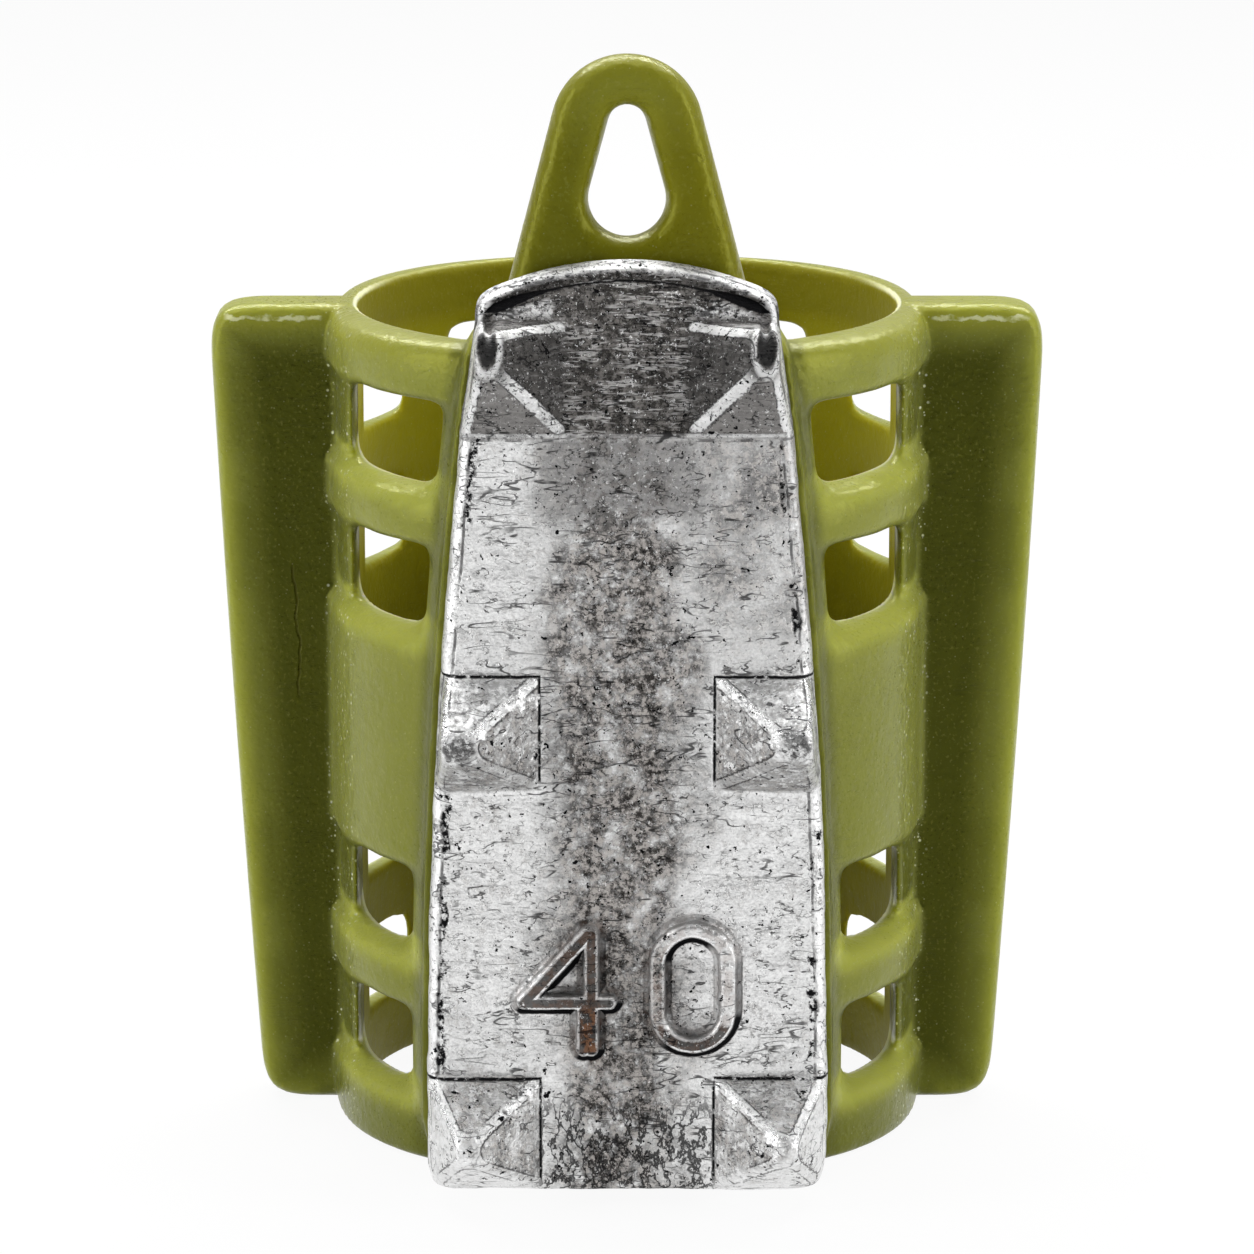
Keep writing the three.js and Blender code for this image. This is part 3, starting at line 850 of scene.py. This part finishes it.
# Painted highlights on the rim under the arch and along the crease.
arch_rim = under_arch.ramp(0.6, 0.35) * leaning * (fine * 0.6 + blotch * 0.4).ramp(0.36, 0.50)
crease_line = abs(above_crease - 0.12).ramp(0.14, 0.05) * (beside * 0.6 + 0.2)
# Rubbed wear and painted highlights share one bright tone, the number's glint included.
rubbed_and_highlit = larger(on_ridge, ring * 0.85, top_patch * 0.85, arch_rim * 0.75, glint, crease_line)
colour = tree.blend(rubbed_and_highlit * 0.92, colour, LEAD["rubbed_and_highlit"])
# real folds, pits and scuffs and painted shade, in one dark tone
colour = tree.blend(dark, colour, LEAD["dirt and shade"])
feed(tree, colour, shader, "Base Color")
tell(tree, "rubbed edges")

# %% Gloss and relief of the lead
shader.inputs["Metallic"].default_value = 1.0
feed(tree, 0.27 + dull_and_shaded * 0.14 + grit * 0.14 + dark * 0.3 - rubbed_and_highlit * 0.08, shader, "Roughness")
scratch = tree.noise(tree.join(x * 0.4, y, z * 5.0), 1.4, 3.0, 0.7)
relief = blotch * 0.17 + fine * (0.045 + dull_and_shaded * 0.075) + grit * 0.010
relief = relief + scratch * (leaning * 0.07 + 0.012) + fleck * 0.03 - dark * 0.07
feed(tree, bump(tree, relief, 1.0), shader, "Normal")
tell(tree, "cast lead")

# %% [markdown]
# ### Rivet steel
#
# The rivet heads are small and sit in the dark of the tube, so a little tarnish and a fine grain are
# enough.

# %% Mix the rivet steel
STEEL = {"bright": (0.62, 0.61, 0.59), "tarnished": (0.30, 0.28, 0.25)}
rivet_steel, tree, shader, place = new_finish("rivet steel")
tarnish = tree.noise(place, 1.8, 4.0, 0.6)
colour = tree.blend(tarnish.ramp(0.45, 0.7), STEEL["bright"], STEEL["tarnished"])
feed(tree, colour, shader, "Base Color")
shader.inputs["Metallic"].default_value = 1.0
feed(tree, 0.25 + tarnish * 0.25, shader, "Roughness")
feed(tree, bump(tree, tree.noise(place, 6.0, 2.0), 0.02), shader, "Normal")
tell(tree, "rivet steel")

# %% [markdown]
# ## The cage
#
# The real cage is one injection moulding, pulled straight off its mould to the front and the back. So
# every window runs along Y, the bands between them stand a little proud of the posts, outer edges are
# well rounded and inner ones nearly sharp. The four rows of windows lie mirrored about the middle, so
# folding the height twice with absolute values describes all of them with one window. This is the main
# piece that follows a rule, so Geometry Nodes make it, with its sizes as named inputs.

# %% Start the cage's tree
cage_tree, s = form_tree("cage form", CAGE)
place = cage_tree.node("GeometryNodeInputPosition").outputs[0]
x, y, z = cage_tree.split(place)
side = abs(x)
from_axis = (x * x + y * y).root()
half_height = s["Tube height"] / 2
print(len(CAGE), "named sizes for the cage")

# %% Tube with bands
squarish = (side ** s["Band fullness"] + abs(y) ** s["Band fullness"]) ** (1 / s["Band fullness"])
middle = z - s["Rows middle"]
pair = abs(middle) - s["Row pair offset"]
fold = abs(pair) - s["Row half pitch"]
row = abs(fold)
in_row = row - s["Window half height"]
beside_row = row.ramp(3.0, 2.0) * side.ramp(13.4, 14.4)
outer_radius = s["Band radius"] - s["Post recess"] * beside_row
tube = cut(squarish - outer_radius, z - s["Tube height"], s["Rim rounding"])
tube = cut(tube, -z, s["Foot rounding"])
tell(cage_tree, "tube")

# %% [markdown]
# ### Windows and wings
#
# In front there are two windows a row, one on each side of the sole. Behind there are two wide ones and
# two narrow ones next to the wings. The edge of a window is nearly sharp on the bore, rounder outside,
# and roundest on a sill.

# %% Windows
WINDOW_EDGE = {"on the bore": 0.14, "outside": 0.65, "more on a sill": 0.75}
corner = s["Window corner"]
front_window = cut(sole_half(z) + s["Window to sole"] - side, side - s["Front window outer"], corner)
front_window = cut(front_window, in_row, corner)
in_rear_row = in_row + s["Rear window lower by"]
rear_window = span(side, s["Rear window middle"], s["Rear window half"])
rear_window = cut(rear_window, in_rear_row, corner)
side_window = span(side, s["Side window middle"], s["Side window half"])
side_window = cut(side_window, in_rear_row, corner)
side_window = larger(side_window, s["Wing half thickness"] + 0.4 - y)
windows = smaller(larger(front_window, y), larger(smaller(rear_window, side_window), -y))
above_row = fold * pair.sign() * middle.sign()
outer_edge = WINDOW_EDGE["outside"] + above_row.ramp(-1.1, -2.2) * WINDOW_EDGE["more on a sill"]
inner_edge = WINDOW_EDGE["on the bore"]
edge_radius = from_axis.ramp(15.0, 16.3) * (outer_edge - inner_edge) + inner_edge
open_tube = cut(tube, -windows, edge_radius)
tell(cage_tree, "windows")

# %% Wings
WING_CORNER = 1.9
reach = s["Wing foot reach"] + s["Wing flare"] * z
crown = 1 - ((z - half_height) / half_height) ** 2
in_height = span(z, half_height, half_height)
wing = cut(side - reach - s["Wing bulge"] * crown, in_height, WING_CORNER + z * 0.003)
wing = cut(wing, abs(y) - s["Wing half thickness"], s["Wing rounding"])
wing = larger(wing, s["Band radius"] - 1.0 - from_axis)
flush = z.ramp(0.0, 2.5) * z.ramp(45.5, 43.0)
body = join(open_tube, wing, flush * 0.55 + 0.02)
tell(cage_tree, "wings")

# %% Pad for the sole
PAD = {"leans from": 40.6, "arch": 0.027, "top corner": 1.5, "foot corner": 1.8, "edge": 0.25}
pad_lean = larger(z - PAD["leans from"], 0) * BACK_LEAN
pad_lip = s["Pad lip"] * z.ramp(1.0, 4.0)
pad_top = z - s["Pad top"] + side * side * PAD["arch"]
pad = cut(side - sole_half(z) - pad_lip, pad_top, PAD["top corner"])
pad = cut(pad, s["Pad foot"] - z, PAD["foot corner"])
pad = cut(pad, s["Pad front"] + pad_lean - y, PAD["edge"])
pad = larger(pad, y)
body = join(body, pad, flush * 0.8 + 0.02)
body = cut(body, s["Bore radius"] - from_axis, 0.22)
tell(cage_tree, "pad")

# %% [markdown]
# ### Eye
#
# The eye is a plate with a round top and straight sides that flare towards the foot. Its hole is
# narrower at the top than at the bottom. A gusset slopes from the bore up to the back of the plate.

# %% Plate of the eye
EYE_FLARE = math.radians(14.6)
up = z - s["Eye top centre"]
out = larger(side * math.cos(EYE_FLARE) + up * math.sin(EYE_FLARE), 0)
above = larger(up * math.cos(EYE_FLARE) - side * math.sin(EYE_FLARE), 0)
eye_outline = (out * out + above * above).root() - s["Eye top radius"]
eye = cut(eye_outline, span(y, s["Eye middle"], s["Eye half thickness"]), s["Eye rounding"])
tell(cage_tree, "plate of the eye")

# %% Hole of the eye and gusset
HOLE_TAPER = math.asin(0.2625)
HOLE_SPAN = 4.0 * math.cos(HOLE_TAPER)
GUSSET = {"y": -14.9, "z": 40.5, "run": 3.1, "rise": 5.0, "slant": 5.883}
up = z - s["Hole centre"]
out = side * math.cos(HOLE_TAPER) + up * math.sin(HOLE_TAPER)
along = up * math.cos(HOLE_TAPER) - side * math.sin(HOLE_TAPER)
past = along.over(HOLE_SPAN)
shrink = s["Hole bottom radius"] - s["Hole top radius"]
clamped = smaller(larger(along, 0), HOLE_SPAN)
out = out - past * shrink
hole = (out * out + (along - clamped) ** 2).root() - s["Hole bottom radius"] + past * shrink
eye = cut(eye, -hole, s["Hole rounding"])
gusset = ((y - GUSSET["y"]) * GUSSET["rise"] - (z - GUSSET["z"]) * GUSSET["run"]) / GUSSET["slant"]
eye = cut(eye, gusset, 0.4)
body = join(body, eye, 0.9)
tell(cage_tree, "eye")

# %% Holes for the rivets
RIVET_HEAD_SEAT = -15.05
rivet_z = abs(z - s["Rivet row"])
rivet_z = smaller(rivet_z, abs(rivet_z - s["Rivet pitch"]))
from_rivet = (x * x + rivet_z * rivet_z).root()
seat = larger(from_rivet - s["Rivet seat"], RIVET_HEAD_SEAT - y)
rivet_hole = smaller(from_rivet - s["Rivet hole"], seat)
body = larger(body, -larger(rivet_hole, y))
tell(cage_tree, "holes for the rivets")

# %% Marks on the cage
front = (-y).ramp(0.0, 2.0)
on_ring = (open_tube - wing).ramp(0.3, -0.1)
# The sills are marked for painted light in the finish.
sill = above_row.ramp(-1.0, -1.6) * windows.ramp(2.2, 0.4) * on_ring * in_row.ramp(1.7, 0.3)
# The eye's edges are marked for painted light in the finish.
rim_of_eye = larger(eye_outline.ramp(-1.6, -0.3), hole.ramp(1.3, 0.3))
cage_marks = {
    "off_tube": open_tube.ramp(0.02, 0.3),
    "sill": sill,
    # the posts are marked for painted shade in the finish
    "post": beside_row * from_axis.ramp(14.95, 15.05) * wing.ramp(-0.3, 0.3),
    # the lintels are marked for painted shade in the finish
    "lintel": above_row.ramp(1.0, 1.6) * windows.ramp(0.5, 0.1) * on_ring * front,
    # the windows' side faces are marked for painted shade
    "reveal": windows.ramp(0.3, 0.05) * front * above_row.ramp(-1.9, -1.2),
    "eye_edge": rim_of_eye * z.ramp(47.0, 49.0),
}
print("marks on the cage:", ", ".join(cage_marks))

# %% Skin of the cage
CAGE_LOW = (-23.6, -17.9, -0.5)
CAGE_HIGH = (23.6, 17.2, 61.7)
MOST_TRIANGLES = 190000
cage_cell = 0.25
cage_skin = skin(cage_tree, body, CAGE_LOW, CAGE_HIGH, cage_cell, cage_marks)
end_tree(cage_tree, cage_skin, olive_plastic)
cage = thin_out(grow("cage", cage_tree, CAGE), MOST_TRIANGLES)
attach(cage, "root")
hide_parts("cage_body")

# %% [markdown]
# ## The cast sole
#
# The lead is poured into an open mould, so its face is slightly crowned, its ridges are soft and its
# skin ripples. Above a crease it leans back. Each spike is a pyramid: slanted planes and a blunt tip, cut
# together with a small rounding. The raised number is its weight in grams, drawn from straight and round
# strokes. The difference between the rounded and the sharp form is largest on the ridges, and is kept as
# a mark for wear, for painted highlights on the ridges and for painted shadow beside them.

# %% Start the sole's tree
sole_tree, s = form_tree("sole form", SOLE)
place = sole_tree.node("GeometryNodeInputPosition").outputs[0]
x, y, z = sole_tree.split(place)
side = abs(x)
print(len(SOLE), "named sizes for the sole")

# %% Plate
lift = larger(z - s["Crease height"], 0)
face = s["Face"] + lift * math.tan(LEAN) + s["Face crown"] * (side / 10) ** 2
outline_sharp = larger(side - sole_half(z), z - s["Top"] + side * side * s["Arch"])
outline = cut(side - sole_half(z), z - s["Top"] + side * side * s["Arch"], 0.75)
outline = cut(outline, s["Bottom"] - z, 1.6)
plate_sharp = larger(outline, face - y)
plate = cut(outline, face - y, s["Edge rounding"])
plate = cut(plate, y - s["Back"] - lift * BACK_LEAN, 0.25)
tell(sole_tree, "plate")


# %% One spike from its slanted planes
def slanted(run, rise, from_edge, height):
    """Distance to a plane that draws in by run while it climbs by rise."""
    return (from_edge * rise + height * run) / (rise * rise + run * run) ** 0.5


def spike(across, along, height, inner, tip_inner, outer, tip_outer, tip_half):
    """Sharp and rounded pyramid, and a mark for its inner and lower faces.

    Across runs outwards, along runs up the sole.
    """
    rise = s["Spike height"]
    planes = [
        slanted(tip_inner - inner, rise, inner - across, height),
        slanted(outer - tip_outer, rise, across - outer, height),
        slanted(s["Spike half length"] - tip_half, rise, abs(along) - s["Spike half length"], height),
    ]
    sharp = larger(*planes)
    soft = cut(cut(planes[0], planes[1], s["Spike ridge"]), planes[2], s["Spike ridge"])
    soft = cut(soft, height - rise, 0.6)
    # The inner and lower faces are marked for painted shade in the lead's finish.
    inner_face = (planes[0] - larger(planes[1], planes[2])).ramp(-0.15, 0.15)
    lower_face = (planes[2] - larger(planes[0], planes[1])).ramp(-0.15, 0.15) * along.ramp(0.1, -0.1)
    return larger(sharp, -1.5 - height), larger(soft, -1.5 - height), larger(inner_face, lower_face)


# %% [markdown]
# ### Spikes
#
# Two pairs of spikes stand on the upright part, and the tips of the higher pair are further out. The
# third pair stands square on the leaning part, so its height and its run are measured along the lean.

# %% Spikes on the upright part
LOW_SPIKE = {"inside the flank": 0.15, "tip half": 0.65, "higher tips further out": 0.85}
row = abs(z - s["Spike rows middle"]) - s["Spike rows offset"]
high = z.ramp(14.0, 16.0)
lower_sharp, lower, lower_shaded = spike(
    across=side,
    along=row,
    height=s["Face"] - y,
    inner=s["Spike inner edge"],
    tip_inner=s["Spike tip inner"],
    outer=sole_half(z) - LOW_SPIKE["inside the flank"],
    tip_outer=s["Spike tip outer"] + high * LOW_SPIKE["higher tips further out"],
    tip_half=LOW_SPIKE["tip half"],
)
tell(sole_tree, "spikes on the upright part")

# %% Spikes on the leaning part
TOP_SPIKE = {"inner": 3.25, "tip inner": 6.95, "tip outer": 7.9, "tip half": 0.95, "droop": 0.14}
ABOVE_CREASE = 0.2
climb = (z - s["Crease height"]) * math.cos(LEAN) + (y - s["Face"]) * math.sin(LEAN)
stand = (z - s["Crease height"]) * math.sin(LEAN) - (y - s["Face"]) * math.cos(LEAN)
upper_sharp, upper, upper_shaded = spike(
    across=side,
    along=climb - s["Spike half length"] - ABOVE_CREASE - stand * TOP_SPIKE["droop"],
    height=stand,
    inner=TOP_SPIKE["inner"],
    tip_inner=TOP_SPIKE["tip inner"],
    outer=sole_half(z),
    tip_outer=TOP_SPIKE["tip outer"],
    tip_half=TOP_SPIKE["tip half"],
)
in_lean = s["Crease height"] + ABOVE_CREASE - z
spikes = cut(smaller(lower, larger(upper, in_lean)), outline, 0.35)
spikes_sharp = larger(smaller(lower_sharp, larger(upper_sharp, in_lean)), outline_sharp)
sole_body = join(plate, spikes, 0.08)
tell(sole_tree, "spikes on the leaning part")

# %% Raised number
number = number_shape(x, z)
raised = cut(number - s["Stroke half width"], face - s["Stroke stand"] - y, 0.22)
raised = larger(raised, y - s["Back"] + 1)
sole_body = join(sole_body, raised, 0.06)
tell(sole_tree, "raised number")

# %% Ripples of the casting
swell = sole_tree.noise(place, 0.17, 1.0) - 0.5
flow = sole_tree.noise(sole_tree.join(x * 0.2, y * 0.3, z * 1.0), 0.9, 2.0) - 0.5
dimples = sole_tree.noise(place, 1.3, 2.0) - 0.5
solid_front = (y - s["Back"]).ramp(-0.3, -1.2)
ripples = (swell * 0.35 + flow * 0.16 + dimples * 0.07) * solid_front
arch_groove = abs(outline_sharp + 0.8).ramp(0.3, 0.05) * z.ramp(46.0, 47.5) * 0.25
sole_body = sole_body + ripples + arch_groove
tell(sole_tree, "ripples")

# %% Marks on the sole
# The ridges are marked for wear, for painted highlights and for painted shadow beside them.
spike_ridge = (spikes - spikes_sharp).ramp(0.03, 0.09) * (spikes - plate).ramp(0.15, -0.1)
plate_edge = (plate - plate_sharp).ramp(0.05, 0.2) * 0.5
on_spike = (spikes - plate).ramp(0.1, -0.1)
# The inner and lower faces of the spikes are marked for painted shade.
dull_and_shaded = lower_shaded + (upper_shaded - lower_shaded) * z.ramp(38.0, 39.0)
top_tip = stand.ramp(2.5, 3.25) * z.ramp(41.0, 42.0)
sole_marks = {
    "ridge": larger(spike_ridge, plate_edge),
    # the seams between spikes and plate are marked for painted shade
    "seam": abs(spikes - plate).ramp(0.17, 0.04),
    "tip": larger((s["Face"] - y).ramp(3.2, 3.5), top_tip),
    "dull_face": on_spike * dull_and_shaded,
}
print("marks on the sole:", ", ".join(sole_marks))

# %% Skin of the sole
SOLE_LOW = (-11.1, -24.95, 0.3)
SOLE_HIGH = (11.1, -14.9, 50.9)
sole_cell = 0.18
sole_skin = skin(sole_tree, sole_body, SOLE_LOW, SOLE_HIGH, sole_cell, sole_marks)
end_tree(sole_tree, sole_skin, cast_lead)
sole = thin_out(grow("lead_sole", sole_tree, SOLE), MOST_TRIANGLES)
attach(sole, "root")
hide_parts("lead_weight")

# %% [markdown]
# ## The rivets
#
# Nothing in the photograph shows how the lead is held, so three domed rivets from inside the tube are a
# fair guess. One rivet is turned from its profile. Geometry Nodes then set copies of it in a row, from
# three named inputs: how many, how far apart and where the lowest one is.

# %% One rivet, turned from a profile
RIVET_PROFILE = [
    (0.0, -4.2), (0.6, -4.2), (0.85, -3.9), (0.9, -3.6), (0.9, -0.2), (0.95, -0.02), (1.75, 0.0),
    (1.88, 0.05), (1.9, 0.15), (1.86, 0.32), (1.7, 0.5), (1.4, 0.68), (1.0, 0.81), (0.5, 0.88),
    (0.0, 0.9),
]
TURNS = 40


def turned(name, profile, turns):
    """A closed solid of revolution about Y, in metres, with one point at each pole."""
    points = []
    rings = []
    for radius, height in profile:
        count = turns if radius > 0 else 1
        rings.append(range(len(points), len(points) + count))
        for step in range(count):
            angle = 2 * math.pi * step / turns
            points.append((radius * math.cos(angle), height, -radius * math.sin(angle)))
    faces = []
    for low, high in zip(rings, rings[1:]):
        for step in range(turns):
            after = (step + 1) % turns
            corners = [low[step % len(low)], low[after % len(low)]]
            corners += [high[after % len(high)], high[step % len(high)]]
            faces.append(list(dict.fromkeys(corners)))
    mesh = bpy.data.meshes.new(name)
    mesh.from_pydata([Vector(p) / 1000 for p in points], [], faces)
    mesh.polygons.foreach_set("use_smooth", [True] * len(faces))
    return add(name, mesh)


one_rivet = turned("one_rivet", RIVET_PROFILE, TURNS)
print("one rivet:", len(one_rivet.data.polygons), "faces")

# %% Set the rivets in a row
RIVETS = {"Count": 3.0, "Pitch": 14.0, "Lowest": 8.0}
FULL_TURN = 6.283
row_tree, s = form_tree("rivet row", RIVETS)
lowest = row_tree.join(0.0, (RIVET_HEAD_SEAT + AXIS_Y) / 1000, s["Lowest"] / 1000)
step = row_tree.join(0.0, 0.0, s["Pitch"] / 1000)
line = row_tree.node(
    "GeometryNodeMeshLine", inputs={"Count": s["Count"], "Start Location": lowest, "Offset": step}
)
source = row_tree.node("GeometryNodeObjectInfo", inputs={"Object": one_rivet})
turn = row_tree.node(
    "FunctionNodeRandomValue",
    {"data_type": "FLOAT_VECTOR"},
    {0: (0, 0, 0), 1: (0, FULL_TURN, 0), "Seed": 4},
)
copies = row_tree.node(
    "GeometryNodeInstanceOnPoints",
    inputs={
        "Points": line.outputs[0],
        "Instance": source.outputs["Geometry"],
        "Rotation": turn.outputs[0],
    },
)
end_tree(row_tree, copies.outputs[0], rivet_steel)
rivets = grow("rivets", row_tree, RIVETS)
bpy.data.objects.remove(one_rivet)
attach(rivets, "root")
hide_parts("rivet_lower", "rivet_middle", "rivet_upper")
print("rivets:", len(rivets.data.polygons), "faces")

# %% [markdown]
# ## Floor, backdrop and light
#
# The photograph is a cut-out on white. The floor is white to the camera and to reflections, and still
# takes a faint shadow. The world is white to the camera and through anything clear. To reflections and
# soft light it is a dim room that is brighter behind the object. Of five soft lamps, two stand at the
# sides, one hangs above, a long strip lights the back, and the fill in front is weak. So surfaces that
# face the camera are the darkest, and every rounding catches light.


# %% Floor
def rays(tree, *kinds):
    """1 for rays of these kinds, 0 for all others."""
    paths = tree.node("ShaderNodeLightPath")
    return larger(*[Num(tree, paths.outputs[f"Is {kind} Ray"]) for kind in kinds])


FLOOR_HALF = 3.0  # metres
FLOOR_WHITE = 0.93
floor_material, tree, shader, _ = new_finish("pale floor")
shader.inputs["Base Color"].default_value = (0.82, 0.82, 0.82, 1)
shader.inputs["Roughness"].default_value = 0.9
glow = tree.node("ShaderNodeEmission", inputs={"Color": (1, 1, 1, 1), "Strength": 1.0})
white = rays(tree, "Camera", "Glossy", "Transmission") * FLOOR_WHITE
mixed = tree.node("ShaderNodeMixShader", inputs={0: white, 1: shader.outputs[0], 2: glow.outputs[0]})
feed(tree, mixed.outputs[0], floor_material.node_tree.nodes["Material Output"], "Surface")
corners = [(sx * FLOOR_HALF, sy * FLOOR_HALF, 0) for sx, sy in ((-1, -1), (1, -1), (1, 1), (-1, 1))]
floor_mesh = bpy.data.meshes.new("floor")
floor_mesh.from_pydata(corners, [], [(0, 1, 2, 3)])
floor_mesh.materials.append(floor_material)
add("floor", floor_mesh)
print("floor:", 2 * FLOOR_HALF, "m wide")

# %% World
world = bpy.data.worlds.new("studio")
bpy.context.scene.world = world
world.use_nodes = True
tree = Tree(world.node_tree)
x, y, z = tree.split(tree.node("ShaderNodeTexCoord").outputs["Generated"])
room = 0.08 + y.ramp(-0.2, 0.9) * 0.35
background = world.node_tree.nodes["Background"]
background.inputs["Color"].default_value = (1, 1, 1, 1)
feed(tree, larger(room, rays(tree, "Camera", "Transmission")), background, "Strength")
tell(tree, "world")

# %% Lamps
# Each row: name, place, width and height in metres, and power in watts.
LAMPS = [
    ("left softbox", (-0.42, -0.14, 0.18), 0.22, 0.36, 1.15),
    ("right softbox", (0.42, -0.14, 0.18), 0.22, 0.36, 1.15),
    ("top softbox", (0.0, 0.06, 0.45), 0.60, 0.30, 1.4),
    ("back strip", (0.0, 0.30, 0.36), 0.60, 0.05, 2.0),
    ("front fill", (0.0, -0.80, 0.30), 0.40, 0.40, 0.2),
]
for name, where, width, height, power in LAMPS:
    light = bpy.data.lights.new(name, "AREA")
    light.shape = "RECTANGLE"
    light.size, light.size_y = width, height
    light.energy = power
    lamp = add(name, light)
    lamp.location = where
    lamp.rotation_euler = (aim - Vector(where)).to_track_quat("-Z", "Y").to_euler()
bpy.context.scene.view_settings.view_transform = "Standard"
print(len(LAMPS), "lamps")
